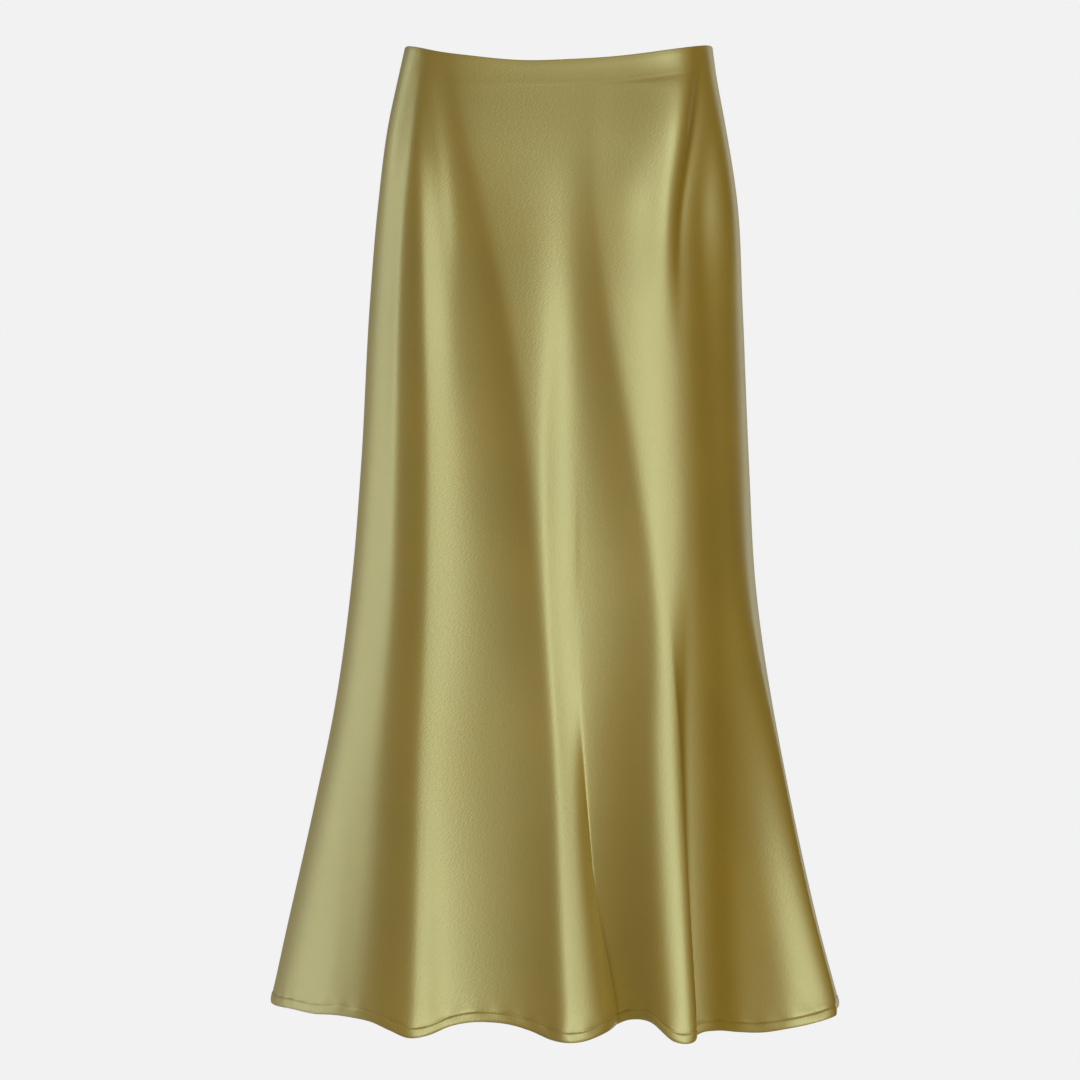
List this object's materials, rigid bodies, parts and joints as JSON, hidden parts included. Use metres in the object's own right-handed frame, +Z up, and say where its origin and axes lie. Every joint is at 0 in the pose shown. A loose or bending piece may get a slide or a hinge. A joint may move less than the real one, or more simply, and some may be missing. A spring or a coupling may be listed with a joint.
{
  "type": "bias-cut maxi skirt",
  "caption": "Long bias-cut satin skirt, hollow and hanging from its waist: smooth at the hips, soft folds growing into a trumpet flare, narrow turned hem.",
  "frame": {"origin": "middle of the waist opening, at the height of the waist edge at the side seams", "axes": "+Z up out of the waist opening, the skirt hangs down -Z; the front faces -Y; +X is to the right as seen from the front"},
  "size_m": [0.5209, 0.3757, 0.8879],
  "materials": {
    "satin": "satin weave, soft sheen",
    "satin_inside": "dull reverse of the satin"
  },
  "bodies": {
    "root": {"front_panel": "satin", "back_panel": "satin", "front_waist_facing": "satin_inside", "back_waist_facing": "satin_inside", "front_hem": "satin_inside", "back_hem": "satin_inside"}
  },
  "joints": []
}
